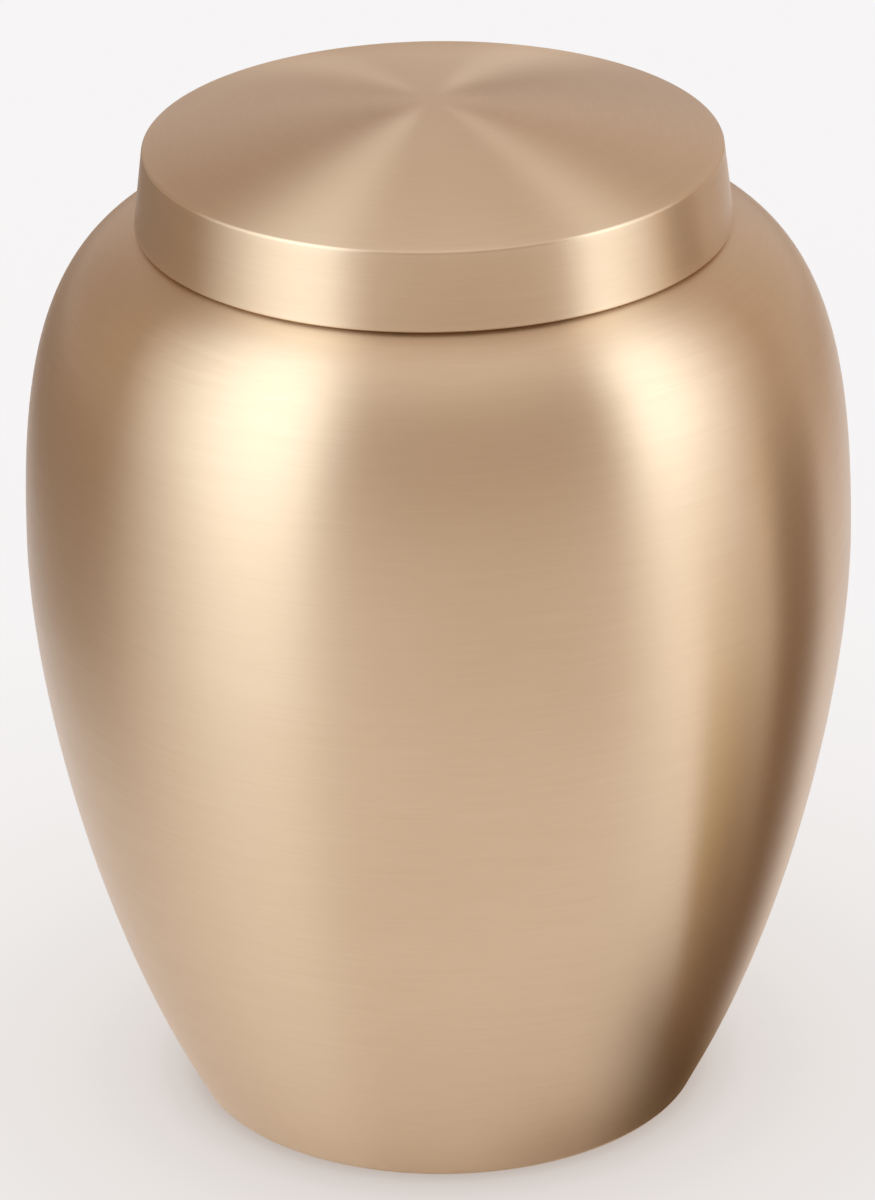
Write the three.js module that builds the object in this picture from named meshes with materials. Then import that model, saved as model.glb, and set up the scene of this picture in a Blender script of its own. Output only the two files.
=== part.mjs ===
import * as THREE from 'three'

// A cremation urn: a thin, hollow bronze body with an upright neck, and a cap lid that drops over it.
// Millimetres, +Z up. The urn stands on z = 0 and both pieces are turned about the Z axis.
// Every outline runs in the (radius, height) plane, with the metal on its left hand.

// Outside of the body, from the ground up
const footRadius = 53.2
const footLean = 26.8 // degrees off upright where the wall leaves the foot
const footCurve = 42 // how far the wall holds that lean
const footRounding = 1.6
const bellyRadius = 86
const bellyHeight = 125
const bellyCurveBelow = 29 // how far the wall stays near upright under the belly
const bellyCurveAbove = 37.5 // and above it
const shoulderHeight = 193.8 // under the lid's edge
const shoulderLean = 69 // degrees off upright there
const shoulderCurve = 21 // how far the shoulder holds that lean

// Inside of the body, and its neck
const bodyWall = 1.5
const floorThickness = 2.5
const floorRounding = 4
const neckBend = 2 // rounding where the shoulder turns up into the neck
const neckEdgeRounding = 0.5

// Lid
const lidRadius = 59.5 // at the rim of its top
const skirtFlare = 2
const skirtHeight = 16.3
const domeRise = 9.6
const rimRounding = 0.8
const lidWall = 1.5
const skirtEdgeRounding = 0.4

// Gaps between the lid and the body
const seamGap = 0.3 // skirt's inner edge to shoulder
const neckGap = 0.5 // skirt's inside to neck
const seatGap = 0.3 // dome's inside to the neck's edge

// Facets
const turns = 64
const bellySteps = 7
const shoulderSteps = 10
const bendSteps = 3
const edgeSteps = 1
const domeSteps = 6

const at = (radius, height) => new THREE.Vector2(radius, height)
const along = (start, direction, distance) => start.clone().addScaledVector(direction, distance)
const radians = THREE.MathUtils.degToRad
const leaning = (degrees) => at(Math.sin(radians(degrees)), Math.cos(radians(degrees)))

// The lid stands just off the shoulder, and its dome is a slice of a sphere.
const skirtRadius = lidRadius + skirtFlare
const skirtBottom = shoulderHeight + lidWall / Math.tan(radians(shoulderLean)) + seamGap
const skirtTop = skirtBottom + skirtHeight
const domeRadius = (lidRadius ** 2 + domeRise ** 2) / (2 * domeRise)
const domeCentre = skirtTop + domeRise - domeRadius

// The neck fills the lid, less the gaps.
const neckRadius = lidRadius - lidWall - neckGap
const neckTop = domeHeight(neckRadius, lidWall) - seatGap

// Height of the dome at a radius, or of the surface that lies a depth inside it.
function domeHeight(radius, depth) {
  return domeCentre + Math.sqrt((domeRadius - depth) ** 2 - radius ** 2)
}

// Points of that surface between two radii.
function domePoints(from, to, depth) {
  return Array.from({ length: domeSteps + 1 }, (_, step) => {
    const radius = from + ((to - from) * step) / domeSteps
    return at(radius, domeHeight(radius, depth))
  })
}

// Points of a curve, moved off it by a distance, into the metal.
function curvePoints(curve, steps, inward) {
  return Array.from({ length: steps + 1 }, (_, step) => {
    const ahead = curve.getTangent(step / steps)
    return along(curve.getPoint(step / steps), at(-ahead.y, ahead.x), inward)
  })
}

// The arc that rounds the corner between two straight lines and touches both.
function roundedCorner(before, corner, after, rounding, steps) {
  const back = before.clone().sub(corner).normalize()
  const ahead = after.clone().sub(corner).normalize()
  const half = Math.acos(back.dot(ahead)) / 2
  const start = along(corner, back, rounding / Math.tan(half))
  const centre = along(corner, back.clone().add(ahead).normalize(), rounding / Math.sin(half))
  const sweep = (2 * half - Math.PI) * Math.sign(back.cross(ahead))
  return Array.from({ length: steps + 1 }, (_, step) =>
    start.clone().rotateAround(centre, (sweep * step) / steps))
}

// Outline of the body: underside, wall, shoulder and neck, then back down the inside to the floor.
function bodyOutline() {
  const wallUp = leaning(footLean)
  const shoulderIn = leaning(-shoulderLean)
  const straightWall = floorThickness + floorRounding + bodyWall // clears the floor's rounding
  const foot = at(footRadius, 0)
  const wallStart = along(foot, wallUp, straightWall)
  const belly = at(bellyRadius, bellyHeight)
  const shoulder = at(skirtRadius, shoulderHeight)
  const lower = new THREE.CubicBezierCurve(
    wallStart, along(wallStart, wallUp, footCurve),
    at(bellyRadius, bellyHeight - bellyCurveBelow), belly)
  const upper = new THREE.CubicBezierCurve(
    belly, at(bellyRadius, bellyHeight + bellyCurveAbove),
    along(shoulder, shoulderIn, -shoulderCurve), shoulder)

  const wall = (inward) => [
    ...curvePoints(lower, bellySteps, inward),
    ...curvePoints(upper, shoulderSteps, inward).slice(1),
  ]
  const outside = wall(0)
  const inside = wall(bodyWall).reverse()
  const insideShoulder = inside[0]
  const insideFoot = inside[inside.length - 1]

  // The neck rises where the shoulder's line reaches its radius.
  const throatRadius = neckRadius - bodyWall
  const reach = (start, radius) => along(start, shoulderIn, (radius - start.x) / shoulderIn.x)
  const neckFoot = reach(shoulder, neckRadius)
  const throatFoot = reach(insideShoulder, throatRadius)
  const neckEdge = at(neckRadius, neckTop)
  const throatEdge = at(throatRadius, neckTop)

  const floorCentre = at(0, floorThickness)
  const floorCorner = along(insideFoot, wallUp, (floorThickness - insideFoot.y) / wallUp.y)
  return [
    at(0, 0),
    ...roundedCorner(at(0, 0), foot, wallStart, footRounding, bendSteps),
    ...outside,
    ...roundedCorner(shoulder, neckFoot, neckEdge, neckBend, bendSteps),
    ...roundedCorner(neckFoot, neckEdge, throatEdge, neckEdgeRounding, edgeSteps),
    ...roundedCorner(neckEdge, throatEdge, throatFoot, neckEdgeRounding, edgeSteps),
    ...roundedCorner(throatEdge, throatFoot, insideShoulder, neckBend + bodyWall, bendSteps),
    ...inside,
    ...roundedCorner(insideFoot, floorCorner, floorCentre, floorRounding, bendSteps),
    floorCentre,
  ]
}

// Outline of the lid: out under the dome, down inside the skirt, round its edge, up and over.
function lidOutline() {
  const insideRadius = lidRadius - lidWall
  const insideRim = at(insideRadius, domeHeight(insideRadius, lidWall))
  const edgeInside = at(skirtRadius - lidWall, skirtBottom)
  const edgeOutside = at(skirtRadius, skirtBottom)
  const rim = at(lidRadius, skirtTop)
  const upDome = at(domeCentre - skirtTop, lidRadius) // the dome's own direction at its rim
  const rimArc = roundedCorner(edgeOutside, rim, along(rim, upDome, 1), rimRounding, bendSteps)
  return [
    ...domePoints(0, insideRadius, lidWall),
    ...roundedCorner(insideRim, edgeInside, edgeOutside, skirtEdgeRounding, edgeSteps),
    ...roundedCorner(edgeInside, edgeOutside, rim, skirtEdgeRounding, edgeSteps),
    ...rimArc,
    ...domePoints(rimArc[bendSteps].x, 0, 0).slice(1),
  ]
}

// Warm bronze with a fine satin brushing.
function bronze() {
  return new THREE.MeshStandardMaterial({ color: 0xc4a680, roughness: 0.35, metalness: 1 })
}

// A piece turned about the Z axis from its outline.
function turnedPiece(name, outline) {
  const mesh = new THREE.Mesh(new THREE.LatheGeometry(outline, turns).rotateX(Math.PI / 2), bronze())
  mesh.name = name
  return mesh
}

const group = new THREE.Group()
group.add(turnedPiece('urn_body', bodyOutline()), turnedPiece('urn_lid', lidOutline()))

export default group
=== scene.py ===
import math
import bpy
import numpy as np
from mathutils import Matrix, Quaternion, Vector


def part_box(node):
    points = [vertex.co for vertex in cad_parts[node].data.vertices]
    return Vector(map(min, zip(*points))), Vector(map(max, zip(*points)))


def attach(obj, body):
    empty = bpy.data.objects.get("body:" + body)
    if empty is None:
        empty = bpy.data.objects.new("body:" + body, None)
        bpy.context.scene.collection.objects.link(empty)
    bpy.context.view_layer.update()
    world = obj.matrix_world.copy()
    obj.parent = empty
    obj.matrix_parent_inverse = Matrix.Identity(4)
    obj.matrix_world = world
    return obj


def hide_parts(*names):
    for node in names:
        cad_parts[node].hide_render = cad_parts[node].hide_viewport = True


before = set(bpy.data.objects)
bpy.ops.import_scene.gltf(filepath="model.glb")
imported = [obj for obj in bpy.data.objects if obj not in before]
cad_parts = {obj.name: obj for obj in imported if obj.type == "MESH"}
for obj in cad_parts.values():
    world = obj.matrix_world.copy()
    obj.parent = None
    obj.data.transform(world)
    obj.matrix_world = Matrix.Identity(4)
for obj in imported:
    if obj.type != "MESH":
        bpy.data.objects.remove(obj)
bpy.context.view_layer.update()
mm = 0.001
print("frame loaded")


# A wire is one socket. Sums, products and powers on it add Math nodes to its tree.
class Wire:
    def __init__(self, socket):
        self.socket = socket

    # Adds a node of that kind: settings go on first, then a value or a wire on each named input
    @staticmethod
    def add(tree, kind, settings=None, values=None, output=0):
        node = tree.nodes.new(kind)
        for setting, value in (settings or {}).items():
            if setting == "stops":
                Wire.setStops(node.color_ramp.elements, value)
            else:
                setattr(node, setting, value)
        for name, value in (values or {}).items():
            if isinstance(value, Wire):
                tree.links.new(value.socket, node.inputs[name])
            else:
                node.inputs[name].default_value = value
        return Wire(node.outputs[output])

    @staticmethod
    def setStops(elements, stops):
        while len(elements) < len(stops):
            elements.new(1.0)
        for element, (position, colour) in zip(elements, stops):
            element.position = position
            element.color = colour

    # Another output of the same node
    def also(self, name):
        return Wire(self.socket.node.outputs[name])

    def maths(self, operation, *terms):
        tree = self.socket.id_data
        return Wire.add(tree, "ShaderNodeMath", {"operation": operation}, dict(enumerate(terms)))

    # 0 below the first value and 1 above the second, with a smooth step between
    def step(self, low, high):
        settings = {"interpolation_type": "SMOOTHSTEP"}
        values = {"Value": self, "From Min": low, "From Max": high}
        return Wire.add(self.socket.id_data, "ShaderNodeMapRange", settings, values)

    def __add__(self, other):
        return self.maths("ADD", self, other)

    def __radd__(self, other):
        return self.maths("ADD", other, self)

    def __sub__(self, other):
        return self.maths("SUBTRACT", self, other)

    def __rsub__(self, other):
        return self.maths("SUBTRACT", other, self)

    def __mul__(self, other):
        return self.maths("MULTIPLY", self, other)

    def __rmul__(self, other):
        return self.maths("MULTIPLY", other, self)

    def __truediv__(self, other):
        return self.maths("DIVIDE", self, other)

    def __pow__(self, other):
        return self.maths("POWER", self, other)


# A blend of two colours, by a factor that runs from 0 to 1
def mixColours(tree, factor, first, second):
    sockets = {0: factor, 6: first, 7: second}  # by number, as the colour sockets share their names
    return Wire.add(tree, "ShaderNodeMix", {"data_type": "RGBA"}, sockets, output=2)


def vectorMath(tree, operation, *vectors, output="Vector"):
    vectors = dict(enumerate(vectors))
    return Wire.add(tree, "ShaderNodeVectorMath", {"operation": operation}, vectors, output)


# An empty node tree with its output node, for a material or a world
def clearedTree(owner, outputKind):
    owner.use_nodes = True
    owner.node_tree.nodes.clear()
    return owner.node_tree, owner.node_tree.nodes.new(outputKind)


# Camera, where the photograph was taken from
photoView = {
    "place": (0.0, -1.38606, 0.74946),
    "target": (-0.00053, 0.0, 0.10826),
    "roll": -0.935,  # degrees
    "lens": 218.20,
    "sensor": 36.0,
}


def placeCamera(look):
    camera = bpy.data.objects.new("photoCamera", bpy.data.cameras.new("photoCamera"))
    bpy.context.collection.objects.link(camera)
    camera.data.lens = look["lens"]
    camera.data.sensor_width = look["sensor"]
    camera.location = look["place"]
    camera.rotation_mode = "QUATERNION"
    aim = (Vector(look["target"]) - Vector(look["place"])).to_track_quat("-Z", "Y")
    camera.rotation_quaternion = aim @ Quaternion((0, 0, 1), math.radians(look["roll"]))
    bpy.context.scene.camera = camera
    bpy.context.scene.view_settings.view_transform = "Standard"


placeCamera(photoView)
print("camera placed")


# Studio: a pale floor, two soft panels and a dim room, in metres and degrees.
# Azimuth 0 is towards the camera, 90 to the right.
studio = {
    "floorSize": 24.0,
    "floorColour": (0.88, 0.88, 0.88, 1),
    "floorRoughness": 0.7,
    # painted light: the floor glows of its own, warm near the urn and paler far off
    "paintedNearGlow": (0.088, 0.068, 0.054, 1),
    "paintedFarGlow": (0.16, 0.16, 0.16, 1),
    "farFrom": 0.25,
    "farFull": 1.2,
    "seenReach": 0.5,
    "seenFloorPaintedShadow": [  # what the camera sees of the floor, by distance from the axis over the reach: pale, with a painted contact shadow darkening it near the foot
        (0.100, (0.45, 0.38, 0.33, 1)), (0.114, (0.66, 0.60, 0.56, 1)), (0.130, (0.75, 0.70, 0.67, 1)),
        (0.160, (0.80, 0.76, 0.735, 1)), (0.230, (0.85, 0.82, 0.805, 1)), (0.320, (0.89, 0.865, 0.86, 1)),
        (0.500, (0.92, 0.90, 0.90, 1)), (1.000, (0.93, 0.915, 0.915, 1))],
    "around": [  # the room's light by azimuth, from -180 to 180
        (0.00, (0.64, 0.56, 0.53, 1)), (0.08, (0.44, 0.35, 0.30, 1)), (0.13, (0.48, 0.38, 0.31, 1)),
        (0.18, (0.53, 0.42, 0.34, 1)), (0.24, (0.50, 0.40, 0.33, 1)), (0.40, (0.50, 0.42, 0.38, 1)),
        (0.62, (0.50, 0.42, 0.38, 1)), (0.80, (0.59, 0.455, 0.365, 1)), (0.92, (0.64, 0.54, 0.47, 1)),
        (1.00, (0.64, 0.56, 0.53, 1))],
    "ceiling": (1.0, 0.97, 0.97, 1),
    "ceilingFrom": 0.70,  # height of the direction, 0 at the horizon and 1 overhead
    "ceilingFull": 0.97,
    "seenRoom": (0.93, 0.915, 0.915, 1),
    "panelColour": (0.77, 0.94, 1.11, 1),
    "panels": {  # glow is the share of the strength across the panel, from its front border to the back
        "leftPanel": {
            "foot": (-1.245, -0.39, 0.0), "leanTo": 152, "lean": 29, "width": 2.40, "length": 2.2,
            "bow": 0.34, "bowHeight": 0.57, "endSlant": 0.0, "footSoft": 0.15, "endSoft": 0.9,
            "strength": 1.74,
            "glow": [(0.0, 0.0), (0.074, 0.03), (0.104, 0.12), (0.134, 0.44), (0.164, 0.82), (0.20, 0.98),
                     (0.25, 1.0), (0.305, 0.92), (0.37, 0.75), (0.43, 0.60), (0.51, 0.44), (0.63, 0.29),
                     (0.78, 0.15), (1.0, 0.0)]},
        "rightPanel": {
            "foot": (1.01, -0.04, 0.01), "leanTo": -145, "lean": 26.5, "width": 1.68, "length": 2.6,
            "bow": 0.0, "bowHeight": 0.5, "endSlant": 1.2, "footSoft": 0.25, "endSoft": 0.25,
            "strength": 1.73,
            "glow": [(0.0, 0.0), (0.06, 0.03), (0.085, 0.15), (0.115, 0.52), (0.145, 0.92), (0.19, 1.0),
                     (0.23, 0.93), (0.29, 0.70), (0.37, 0.46), (0.48, 0.27), (0.64, 0.13), (1.0, 0.0)]},
    },
    "shadeSize": 5.0,
    "shadeHeight": 0.001,
    "shadeBrightest": 1.6,  # more than any of the fans' products below
    "paintedShades": [  # painted shadows (keeps below 1) and painted light (keeps above 1), fans on a hidden sheet that the bronze mirrors, by azimuth and distance
        {"apex": (-0.093, -0.121), "begin": (105, 112), "end": (121, 130),
         "near": (0.14, 0.185), "far": (0.60, 0.95), "keeps": (0.16, 0.08, 0.02, 1)},
        {"apex": (-0.093, -0.121), "begin": (99.5, 102.5), "end": (103.0, 106.0),
         "near": (0.45, 0.60), "far": (1.30, 1.70), "keeps": (1.35, 1.25, 1.0, 1)},
        {"apex": (0.02, -0.03), "begin": (70, 78), "end": (88, 100),
         "near": (0.08, 0.11), "far": (0.12, 0.60), "keeps": (0.50, 0.33, 0.10, 1)},
        {"apex": (0.0, 0.0), "begin": (54, 64), "end": (73, 80),
         "near": (0.12, 0.22), "far": (0.80, 1.30), "keeps": (1.11, 1.11, 1.11, 1)},
        {"apex": (0.0, 0.0), "begin": (0, 55), "end": (150, 170),
         "near": (0.03, 0.04), "far": (0.058, 0.078), "keeps": (0.42, 0.32, 0.20, 1)},
        {"apex": (-1.0, 0.1), "begin": (82, 90), "end": (150, 170),
         "near": (1.15, 1.60), "far": (3.1, 3.3), "keeps": (0.60, 0.48, 0.38, 1)},
        {"apex": (1.0, 0.1), "begin": (-170, -150), "end": (-93, -70),
         "near": (1.14, 1.36), "far": (3.1, 3.3), "keeps": (0.31, 0.24, 0.185, 1)},
    ],
}


def makeMesh(name, points, faces):
    mesh = bpy.data.meshes.new(name)
    mesh.from_pydata(np.asarray(points).tolist(), [], np.asarray(faces).tolist())
    piece = bpy.data.objects.new(name, mesh)
    bpy.context.collection.objects.link(piece)
    return piece


# Plane point = centre + across * width * u + up * height * v, with u and v the corners of a square
def makePlane(name, centre, across, up):
    corners = np.array([(-0.5, -0.5), (0.5, -0.5), (0.5, 0.5), (-0.5, 0.5)])
    points = np.asarray(centre) + corners[:, :1] * np.asarray(across) + corners[:, 1:] * np.asarray(up)
    plane = makeMesh(name, points, [(0, 1, 2, 3)])
    return plane


# The floor lights the bronze and is mirrored in it, with a painted glow of its own, warmer near the urn.
# The camera sees it plain and pale, with a painted soft shadow round the foot.
def layFloor(look):
    size = look["floorSize"]
    floor = makePlane("paleFloor", (0, 0, 0), (size, 0, 0), (0, size, 0))
    material = bpy.data.materials.new("paleFloor")
    tree, output = clearedTree(material, "ShaderNodeOutputMaterial")
    place = Wire.add(tree, "ShaderNodeTexCoord", output="Object")
    distance = vectorMath(tree, "LENGTH", place, output="Value")
    away = distance.step(look["farFrom"], look["farFull"])
    # painted glow on the floor, warm near the urn where it stands in for light thrown back by the bronze
    glow = mixColours(tree, away, look["paintedNearGlow"], look["paintedFarGlow"])
    values = {"Base Color": look["floorColour"], "Roughness": look["floorRoughness"],
              "Emission Color": glow, "Emission Strength": 1.0}
    lit = Wire.add(tree, "ShaderNodeBsdfPrincipled", None, values)
    # painted shadow: the camera sees an emission ramp, darker near the foot, in place of the lit floor
    nearness = {"Fac": distance / look["seenReach"]}
    seen = Wire.add(tree, "ShaderNodeValToRGB", {"stops": look["seenFloorPaintedShadow"]}, nearness)
    pale = Wire.add(tree, "ShaderNodeEmission", None, {"Color": seen})
    isSeen = Wire.add(tree, "ShaderNodeLightPath", output="Is Camera Ray")
    shader = Wire.add(tree, "ShaderNodeMixShader", None, {0: isSeen, 1: lit, 2: pale})
    tree.links.new(shader.socket, output.inputs["Surface"])
    floor.data.materials.append(material)


# The panel leans over the urn, and its light fades out towards the borders.
# Place on the glow's ramp = (across - bow * (along - bow height)^2) / width + a half.
def hangPanel(name, look, colour):
    turn, lean = math.radians(look["leanTo"]), math.radians(look["lean"])
    leanWay = np.array((math.sin(turn), -math.cos(turn), 0))
    upward = leanWay * math.sin(lean) + np.array((0, 0, math.cos(lean)))
    backward = np.array((-leanWay[1], leanWay[0], 0))
    backward *= math.copysign(1, backward[1])
    foot = np.array(look["foot"])
    centre = foot + upward * look["length"] / 2
    panel = makePlane(name, centre, backward * look["width"], upward * look["length"])
    panel.visible_camera = False
    material = bpy.data.materials.new(name)
    tree, output = clearedTree(material, "ShaderNodeOutputMaterial")
    place = Wire.add(tree, "ShaderNodeTexCoord", output="Object")
    fromFoot = vectorMath(tree, "SUBTRACT", place, foot)
    across = vectorMath(tree, "DOT_PRODUCT", fromFoot, backward, output="Value")
    along = vectorMath(tree, "DOT_PRODUCT", fromFoot, upward, output="Value")
    glowStops = [(position, (share, share, share, 1)) for position, share in look["glow"]]
    bowed = across - (along - look["bowHeight"]) ** 2 * look["bow"]
    onRamp = bowed / look["width"] + 0.5
    glow = Wire.add(tree, "ShaderNodeValToRGB", {"stops": glowStops}, {"Fac": onRamp})
    toEnd = (across - look["width"] / 2) * look["endSlant"] + look["length"] - along
    endMask = along.step(0.0, look["footSoft"]) * toEnd.step(0.0, look["endSoft"])
    light = Wire.add(tree, "ShaderNodeEmission", None, {
        "Color": mixColours(tree, glow * endMask, (0, 0, 0, 1), colour), "Strength": look["strength"]})
    clear = Wire.add(tree, "ShaderNodeBsdfTransparent")
    both = Wire.add(tree, "ShaderNodeAddShader", None, {0: light, 1: clear})
    tree.links.new(both.socket, output.inputs["Surface"])
    panel.data.materials.append(material)


# A sheet over the table that only mirrored light meets: in it the bronze mirrors painted shadows, among
# them a painted cast shadow of the urn, and painted brighter fans of light.
# What is kept of the light = the product of a blend from 1 to what the fan keeps, one for each fan,
# by begin step * (1 - end step) * near step * (1 - far step)
def layShades(look):
    size = look["shadeSize"]
    sheet = makePlane("paintedTableShade", (0, 0, look["shadeHeight"]), (size, 0, 0), (0, size, 0))
    sheet.visible_camera = sheet.visible_diffuse = sheet.visible_shadow = False
    material = bpy.data.materials.new("paintedTableShade")
    tree, output = clearedTree(material, "ShaderNodeOutputMaterial")
    place = Wire.add(tree, "ShaderNodeTexCoord", output="Object")
    onTable = Wire.add(tree, "ShaderNodeSeparateXYZ", None, {0: place})
    kept = (1, 1, 1)
    for fan in look["paintedShades"]:
        fromX, fromY = onTable - fan["apex"][0], onTable.also("Y") - fan["apex"][1]
        azimuth = fromX.maths("ARCTAN2", fromX, fromY * -1) * (180 / math.pi)
        distance = (fromX * fromX + fromY * fromY) ** 0.5
        sides = azimuth.step(*fan["begin"]) * (1 - azimuth.step(*fan["end"]))
        cover = sides * distance.step(*fan["near"]) * (1 - distance.step(*fan["far"]))
        keeps = mixColours(tree, cover, (1, 1, 1, 1), fan["keeps"])
        kept = vectorMath(tree, "MULTIPLY", kept, keeps)
    channels = Wire.add(tree, "ShaderNodeSeparateColor", None, {"Color": kept}, output="Red")
    stopped = Wire.add(tree, "ShaderNodeBsdfTransparent", None, {"Color": (0, 0, 0, 1)})
    brightest = look["shadeBrightest"]
    passed = []
    for channel, tint in (("Red", (1, 0, 0)), ("Green", (0, 1, 0)), ("Blue", (0, 0, 1))):
        clearColour = (*(np.array(tint) * brightest), 1)
        clear = Wire.add(tree, "ShaderNodeBsdfTransparent", None, {"Color": clearColour})
        openness = channels.also(channel) / brightest
        passed.append(Wire.add(tree, "ShaderNodeMixShader", None, {0: openness, 1: stopped, 2: clear}))
    redGreen = Wire.add(tree, "ShaderNodeAddShader", None, {0: passed[0], 1: passed[1]})
    allThree = Wire.add(tree, "ShaderNodeAddShader", None, {0: redGreen, 1: passed[2]})
    tree.links.new(allThree.socket, output.inputs["Surface"])
    sheet.data.materials.append(material)


# The room's light by azimuth, brighter overhead. The camera itself sees the room plain and pale.
def lightRoom(look):
    world = bpy.data.worlds.new("dimRoom")
    tree, output = clearedTree(world, "ShaderNodeOutputWorld")
    direction = Wire.add(tree, "ShaderNodeTexCoord", output="Generated")
    sideways = Wire.add(tree, "ShaderNodeSeparateXYZ", None, {0: direction}, output="X")
    azimuth = sideways.maths("ARCTAN2", sideways, sideways.also("Y") * -1)
    around = Wire.add(tree, "ShaderNodeValToRGB", {"stops": look["around"]},
                      {"Fac": azimuth / (2 * math.pi) + 0.5})
    overhead = sideways.also("Z").step(look["ceilingFrom"], look["ceilingFull"])
    room = mixColours(tree, overhead, around, look["ceiling"])
    seen = Wire.add(tree, "ShaderNodeLightPath", output="Is Camera Ray")
    glow = Wire.add(tree, "ShaderNodeBackground", None,
                    {"Color": mixColours(tree, seen, room, look["seenRoom"])})
    tree.links.new(glow.socket, output.inputs["Surface"])
    bpy.context.scene.world = world


layFloor(studio)
for panelName, panelLook in studio["panels"].items():
    hangPanel(panelName, panelLook, studio["panelColour"])
layShades(studio)
lightRoom(studio)
print("studio lit")


# Outlines are runs of points in the (radius, height) plane, each with the slope of the outline there.
# The metal is on the left hand of every run.
def unit(vector):
    return vector / np.linalg.norm(vector, axis=-1, keepdims=True)


def leaning(degrees):
    return np.array((math.sin(math.radians(degrees)), math.cos(math.radians(degrees))))


def spot(radius, height):
    return np.array((radius, height), float)


# Straight run: start + (end - start) * t
def straightRun(start, end, steps):
    t = np.linspace(0, 1, steps + 1)[:, None]
    points = start + (end - start) * t
    return points, np.broadcast_to(unit(end - start), points.shape)


# Cubic curve: the sum of four points weighted by (1-t)^3, 3t(1-t)^2, 3t^2(1-t) and t^3
def curvedRun(first, second, third, fourth, steps):
    t = np.linspace(0, 1, steps + 1)[:, None]
    s = 1 - t
    points = first * s**3 + second * (3 * t * s**2) + third * (3 * t**2 * s) + fourth * t**3
    slopes = (second - first) * s**2 + (third - second) * (2 * t * s) + (fourth - third) * t**2
    return points, unit(slopes)


# Rounded corner: centre - side * rounding * left(slope), while the slope turns from one line to the next
def roundedCorner(before, corner, after, rounding, steps):
    inward, outward = unit(corner - before), unit(after - corner)
    turn = math.atan2(inward[0] * outward[1] - inward[1] * outward[0], inward @ outward)
    side = math.copysign(1, turn)
    left = np.array((-inward[1], inward[0]))
    centre = corner - inward * rounding * math.tan(abs(turn) / 2) + left * side * rounding
    angle = turn * np.linspace(0, 1, steps + 1)[:, None]
    slopes = inward * np.cos(angle) + left * np.sin(angle)
    lefts = np.stack((-slopes[:, 1], slopes[:, 0]), axis=1)
    return centre - side * rounding * lefts, slopes


# Dome run: radius from start to end, height = centre + sqrt(ball^2 - radius^2)
def domeRun(start, end, ball, centre, steps):
    radius = np.linspace(start, end, steps + 1)
    rise = np.sqrt(ball**2 - radius**2)
    slopes = np.stack((rise, -radius), axis=1) / ball * math.copysign(1, end - start)
    return np.stack((radius, centre + rise), axis=1), slopes


# The same run moved into the metal by a depth and walked the other way
def insideOf(run, depth):
    points, slopes = run
    lefts = np.stack((-slopes[:, 1], slopes[:, 0]), axis=1)
    return (points + lefts * depth)[::-1], -slopes[::-1]


# Turned surface: (radius cos a, radius sin a, height), for the outline by a full circle of angles a.
# Both ends of the outline are on the axis and close as one point. The normal is the outline's right hand.
def turnedPiece(name, runs, insideRuns, wornRuns, look):
    runNumber = np.concatenate([np.full(len(points), number) for number, (points, _) in enumerate(runs)])
    outline = np.concatenate([points for points, _ in runs])
    slopes = np.concatenate([slope for _, slope in runs])
    gap = np.linalg.norm(np.diff(outline, axis=0, prepend=outline[:1] - 1), axis=1)
    keep = gap > look["sameWithin"]
    outline, slopes, runNumber = outline[keep], slopes[keep], runNumber[keep]
    travelled = np.concatenate(([0], np.cumsum(np.linalg.norm(np.diff(outline, axis=0), axis=1))))
    worn = outline[np.isin(runNumber, wornRuns)]
    reach = np.linalg.norm(outline[:, None] - worn[None], axis=2).min(axis=1)
    wear = np.exp(-reach / look["wearReach"])

    around = look["around"]
    angle = np.linspace(0, 2 * math.pi, around, endpoint=False)
    spin = np.stack((np.cos(angle), np.sin(angle)), axis=1)
    rings = len(outline) - 2
    radius, height = outline[1:-1, 0, None], outline[1:-1, 1, None]
    ringPoints = np.stack((radius * spin[:, 0], radius * spin[:, 1], height + 0 * spin[:, 0]), axis=2)
    out, up = slopes[1:-1, 1, None], -slopes[1:-1, 0, None]
    ringNormals = np.stack((out * spin[:, 0], out * spin[:, 1], up + 0 * spin[:, 0]), axis=2)
    poles = np.array([(0, 0, outline[0, 1]), (0, 0, outline[-1, 1])])
    poleNormals = np.array([(0, 0, -slopes[0, 0]), (0, 0, -slopes[-1, 0])])
    points = np.concatenate((ringPoints.reshape(-1, 3), poles)) * mm
    normals = np.concatenate((ringNormals.reshape(-1, 3), poleNormals))

    grid = np.arange(rings * around).reshape(rings, around)
    beside = np.roll(grid, -1, axis=1)
    quads = np.stack((grid[:-1], beside[:-1], beside[1:], grid[1:]), axis=2).reshape(-1, 4)
    firstPole, lastPole = rings * around, rings * around + 1
    firstFan = np.stack((np.full(around, firstPole), beside[0], grid[0]), axis=1)
    lastFan = np.stack((grid[-1], beside[-1], np.full(around, lastPole)), axis=1)

    mesh = bpy.data.meshes.new(name)
    mesh.from_pydata(points.tolist(), [], quads.tolist() + firstFan.tolist() + lastFan.tolist())
    isInside = np.isin(runNumber, insideRuns)
    quadInside = np.repeat(isInside[1:-2] & isInside[2:-1], around)
    faceSlot = np.concatenate((quadInside, np.full(around, isInside[0]), np.full(around, isInside[-1])))
    mesh.polygons.foreach_set("material_index", faceSlot.astype(np.int32))
    for attribute, values in (("alongOutline", travelled * mm), ("edgeWear", wear)):
        perPoint = np.concatenate((np.repeat(values[1:-1], around), values[[0, -1]]))
        layer = mesh.attributes.new(attribute, "FLOAT", "POINT")
        layer.data.foreach_set("value", perPoint.astype(np.float32))
    mesh.shade_smooth()
    mesh.normals_split_custom_set_from_vertices(normals.tolist())
    piece = bpy.data.objects.new(name, mesh)
    bpy.context.collection.objects.link(piece)
    return piece


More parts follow.
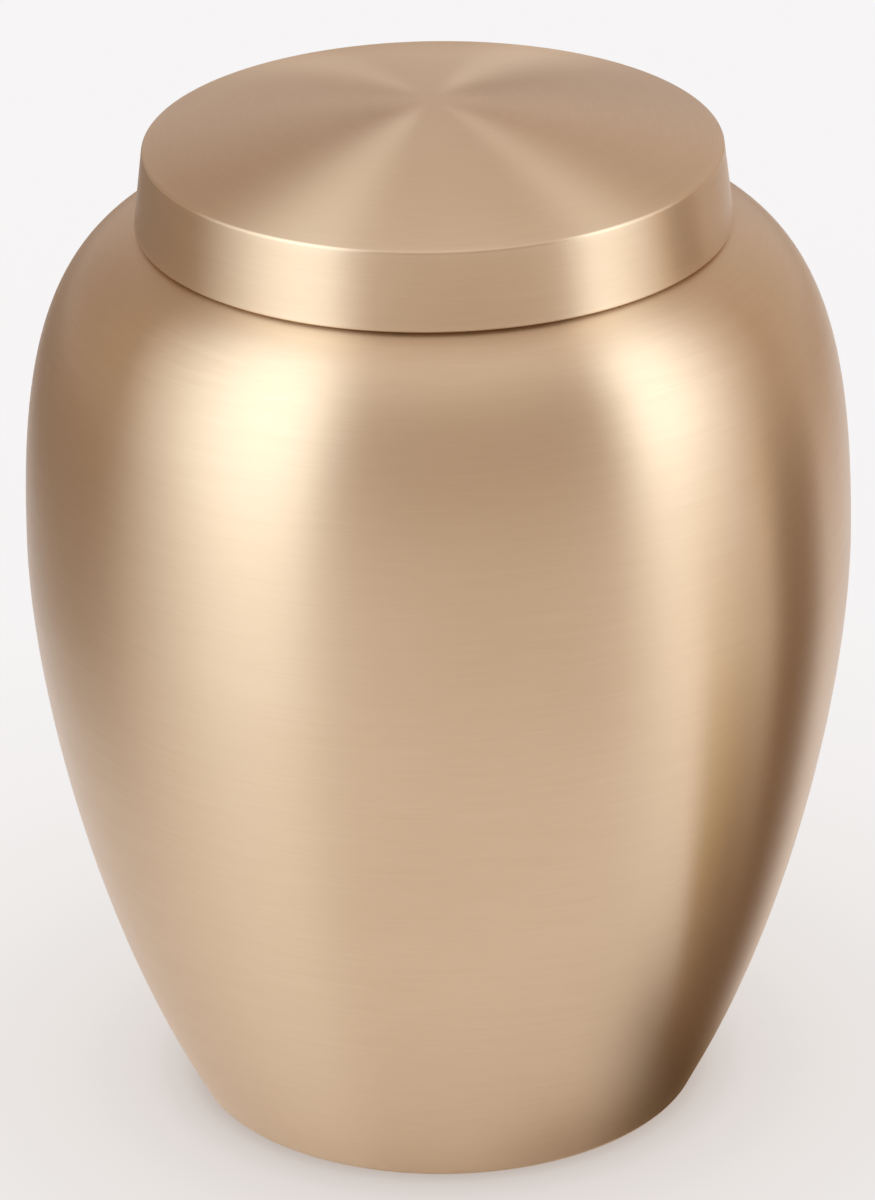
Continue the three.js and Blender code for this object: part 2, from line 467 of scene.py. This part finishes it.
# Bronze, satin brushed round the axis, and the plainer spun metal inside
bronzeLook = {
    "colour": (0.75, 0.56, 0.37, 1),
    "dullColour": (0.725, 0.532, 0.345, 1),
    "wornColour": (0.79, 0.61, 0.42, 1),
    "wornShare": 0.4,
    "roughness": 0.295,
    "dullRoughness": 0.03,  # added where the metal is dull
    "wornRoughness": -0.02,
    "anisotropic": 1.0,
    "lineTurn": 0.25,  # a quarter turn: the brush lines run round the urn
    "plainRadius": 0.001,  # round the axis the brushing has no direction
    "brushedRadius": 0.014,
    "lacquer": 0.4,
    "lacquerRoughness": 0.25,
    "cloudScale": 14.0,
    "cloudDetail": 2.0,
    "cloudShare": 0.4,
    "toneRange": (0.35, 0.65),
    "fineAround": 6.0,
    "finePerMetre": 3400.0,
    "fineDetail": 2.0,
    "broadAround": 3.0,
    "broadPerMetre": 700.0,
    "broadDetail": 1.0,
    "broadShare": 0.3,
    "grooveDepth": 0.000025,
    "grooveStrength": 0.35,
}
insideLook = {
    "colour": (0.62, 0.44, 0.27, 1),
    "dullColour": (0.50, 0.34, 0.20, 1),
    "roughness": 0.42,
    "ringRoughness": 0.06,
    "anisotropic": 0.6,
    "lineTurn": 0.25,
    "toneRange": (0.3, 0.7),
    "ringsAround": 1.0,
    "ringsPerMetre": 900.0,
    "ringDetail": 1.0,
    "grooveDepth": 0.00006,
    "grooveStrength": 0.4,
}


# Noise drawn out into lines round the axis, from the place without its height:
# strokes is how fast it changes the way round, across how fast along the outline
def brushNoise(tree, flat, along, strokes, across, detail):
    around = vectorMath(tree, "MULTIPLY", vectorMath(tree, "NORMALIZE", flat), (strokes, strokes, 0))
    upward = Wire.add(tree, "ShaderNodeCombineXYZ", None, {"Z": along * across})
    vector = vectorMath(tree, "ADD", around, upward)
    return Wire.add(tree, "ShaderNodeTexNoise", None, {"Vector": vector, "Scale": 1.0, "Detail": detail})


def brushedBronze(look):
    material = bpy.data.materials.new("brushedBronze")
    tree, output = clearedTree(material, "ShaderNodeOutputMaterial")
    place = Wire.add(tree, "ShaderNodeTexCoord", output="Object")
    along = Wire.add(tree, "ShaderNodeAttribute", {"attribute_name": "alongOutline"}, output="Fac")
    wear = Wire.add(tree, "ShaderNodeAttribute", {"attribute_name": "edgeWear"}, output="Fac")
    flat = vectorMath(tree, "MULTIPLY", place, (1, 1, 0))
    fine = brushNoise(tree, flat, along, look["fineAround"], look["finePerMetre"], look["fineDetail"])
    broad = brushNoise(tree, flat, along, look["broadAround"], look["broadPerMetre"], look["broadDetail"])
    lines = fine + (broad - fine) * look["broadShare"]
    cloud = Wire.add(tree, "ShaderNodeTexNoise", None, {
        "Vector": place, "Scale": look["cloudScale"], "Detail": look["cloudDetail"]})
    bright = (lines + (cloud - lines) * look["cloudShare"]).step(*look["toneRange"])
    tone = mixColours(tree, bright, look["dullColour"], look["colour"])
    bump = Wire.add(tree, "ShaderNodeBump", None, {
        "Strength": look["grooveStrength"], "Distance": look["grooveDepth"], "Height": lines})
    roughness = look["roughness"] + (1 - bright) * look["dullRoughness"] + wear * look["wornRoughness"]
    colour = mixColours(tree, wear * look["wornShare"], tone, look["wornColour"])
    metal = {"Base Color": colour, "Metallic": 1.0, "Roughness": roughness, "Normal": bump,
             "Coat Weight": look["lacquer"], "Coat Roughness": look["lacquerRoughness"]}
    direction = {"Anisotropic": look["anisotropic"], "Anisotropic Rotation": look["lineTurn"]}
    plain = Wire.add(tree, "ShaderNodeBsdfPrincipled", None, metal)
    brushed = Wire.add(tree, "ShaderNodeBsdfPrincipled", None, {**metal, **direction})
    fromAxis = vectorMath(tree, "LENGTH", flat, output="Value")
    isBrushed = fromAxis.step(look["plainRadius"], look["brushedRadius"])
    shader = Wire.add(tree, "ShaderNodeMixShader", None, {0: isBrushed, 1: plain, 2: brushed})
    tree.links.new(shader.socket, output.inputs["Surface"])
    return material


def spunInside(look):
    material = bpy.data.materials.new("spunInside")
    tree, output = clearedTree(material, "ShaderNodeOutputMaterial")
    place = Wire.add(tree, "ShaderNodeTexCoord", output="Object")
    along = Wire.add(tree, "ShaderNodeAttribute", {"attribute_name": "alongOutline"}, output="Fac")
    flat = vectorMath(tree, "MULTIPLY", place, (1, 1, 0))
    rings = brushNoise(tree, flat, along, look["ringsAround"], look["ringsPerMetre"], look["ringDetail"])
    colour = mixColours(tree, rings.step(*look["toneRange"]), look["dullColour"], look["colour"])
    roughness = look["roughness"] + rings * look["ringRoughness"]
    bump = Wire.add(tree, "ShaderNodeBump", None, {
        "Strength": look["grooveStrength"], "Distance": look["grooveDepth"], "Height": rings})
    shader = Wire.add(tree, "ShaderNodeBsdfPrincipled", None, {
        "Base Color": colour, "Metallic": 1.0, "Roughness": roughness, "Normal": bump,
        "Anisotropic": look["anisotropic"], "Anisotropic Rotation": look["lineTurn"]})
    tree.links.new(shader.socket, output.inputs["Surface"])
    return material


finishes = [brushedBronze(bronzeLook), spunInside(insideLook)]
print("bronze mixed")


# Body, in millimetres and degrees off upright
bodyLook = {
    "footRadius": 53.2, "footLean": 26.8, "footCurve": 42, "footRounding": 1.6,
    "bellyRadius": 86, "bellyHeight": 125, "bellyCurveBelow": 29, "bellyCurveAbove": 37.5,
    "shoulderRadius": 61.5, "shoulderHeight": 193.8, "shoulderLean": 69, "shoulderCurve": 21,
    "wall": 1.5, "floorThickness": 2.5, "floorRounding": 4,
    "neckRadius": 57.5, "neckTop": 209.8, "neckBend": 2, "neckEdge": 0.5,
    "around": 256, "wallSteps": 60, "bendSteps": 10, "flatSteps": 12,
    "sameWithin": 1e-6, "wearReach": 0.9,
}

# Lid, with its skirt's bottom just off the shoulder
lidLook = {
    "rimRadius": 59.5, "skirtRadius": 61.5, "skirtBottom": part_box("urn_lid")[0].z / mm,
    "skirtHeight": 16.3, "domeRise": 9.6, "wall": 1.5,
    "rimRounding": 0.8, "skirtEdge": 0.4, "insideCorner": 0.8,
    "around": 256, "domeSteps": 48, "skirtSteps": 10, "bendSteps": 10,
    "sameWithin": 1e-6, "wearReach": 0.9,
}


def bodyRuns(look):
    wallUp = leaning(look["footLean"])
    shoulderIn = leaning(-look["shoulderLean"])
    foot = spot(look["footRadius"], 0)
    wallStart = foot + wallUp * (look["floorThickness"] + look["floorRounding"] + look["wall"])
    belly = spot(look["bellyRadius"], look["bellyHeight"])
    shoulder = spot(look["shoulderRadius"], look["shoulderHeight"])
    lower = curvedRun(wallStart, wallStart + wallUp * look["footCurve"],
                      belly - spot(0, look["bellyCurveBelow"]), belly, look["wallSteps"])
    upper = curvedRun(belly, belly + spot(0, look["bellyCurveAbove"]),
                      shoulder - shoulderIn * look["shoulderCurve"], shoulder, look["wallSteps"])
    neckFoot = shoulder + shoulderIn * ((look["neckRadius"] - shoulder[0]) / shoulderIn[0])
    throatRadius = look["neckRadius"] - look["wall"]
    insideUpper, insideLower = insideOf(upper, look["wall"]), insideOf(lower, look["wall"])
    insideShoulder, insideFoot = insideUpper[0][0], insideLower[0][-1]
    throatFoot = insideShoulder + shoulderIn * ((throatRadius - insideShoulder[0]) / shoulderIn[0])
    neckEdge, throatEdge = spot(look["neckRadius"], look["neckTop"]), spot(throatRadius, look["neckTop"])
    floorCentre = spot(0, look["floorThickness"])
    floorCorner = insideFoot + wallUp * ((look["floorThickness"] - insideFoot[1]) / wallUp[1])
    axis = spot(0, 0)
    bend = look["bendSteps"]
    footArc = roundedCorner(axis, foot, wallStart, look["footRounding"], bend)
    floorArc = roundedCorner(insideFoot, floorCorner, floorCentre, look["floorRounding"], bend)
    return [
        straightRun(axis, footArc[0][0], look["flatSteps"]),
        footArc,
        lower,
        upper,
        roundedCorner(shoulder, neckFoot, neckEdge, look["neckBend"], bend),
        roundedCorner(neckFoot, neckEdge, throatEdge, look["neckEdge"], bend),
        roundedCorner(neckEdge, throatEdge, throatFoot, look["neckEdge"], bend),
        roundedCorner(throatEdge, throatFoot, insideShoulder, look["neckBend"] + look["wall"], bend),
        insideUpper,
        insideLower,
        floorArc,
        straightRun(floorArc[0][-1], floorCentre, look["flatSteps"]),
    ]


def lidRuns(look):
    skirtTop = look["skirtBottom"] + look["skirtHeight"]
    ball = (look["rimRadius"] ** 2 + look["domeRise"] ** 2) / (2 * look["domeRise"])
    centre = skirtTop + look["domeRise"] - ball
    insideRadius = look["rimRadius"] - look["wall"]
    insideBall = ball - look["wall"]
    insideRim = spot(insideRadius, centre + math.sqrt(insideBall**2 - insideRadius**2))
    edgeInside = spot(look["skirtRadius"] - look["wall"], look["skirtBottom"])
    edgeOutside = spot(look["skirtRadius"], look["skirtBottom"])
    rim = spot(look["rimRadius"], skirtTop)
    upDome = unit(spot(centre - skirtTop, look["rimRadius"]))
    downDome = unit(spot(insideRim[1] - centre, -insideRadius))
    bend = look["bendSteps"]
    cornerArc = roundedCorner(insideRim - downDome, insideRim, edgeInside, look["insideCorner"], bend)
    rimArc = roundedCorner(edgeOutside, rim, rim + upDome, look["rimRounding"], bend)
    edgeArc = roundedCorner(edgeInside, edgeOutside, rim, look["skirtEdge"], bend)
    return [
        domeRun(0, cornerArc[0][0][0], insideBall, centre, look["domeSteps"]),
        cornerArc,
        roundedCorner(insideRim, edgeInside, edgeOutside, look["skirtEdge"], bend),
        edgeArc,
        straightRun(edgeArc[0][-1], rimArc[0][0], look["skirtSteps"]),
        rimArc,
        domeRun(rimArc[0][-1][0], 0, ball, centre, look["domeSteps"]),
    ]


def dress(piece, node):
    for finish in finishes:
        piece.data.materials.append(finish)
    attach(piece, "root")
    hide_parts(node)


bodyPiece = turnedPiece("bronzeBody", bodyRuns(bodyLook), (7, 8, 9, 10, 11), (1, 5, 6), bodyLook)
dress(bodyPiece, "urn_body")
print("body turned,", len(bodyPiece.data.polygons), "faces")
lidPiece = turnedPiece("bronzeLid", lidRuns(lidLook), (0, 1), (3, 5), lidLook)
dress(lidPiece, "urn_lid")
print("lid turned,", len(lidPiece.data.polygons), "faces")
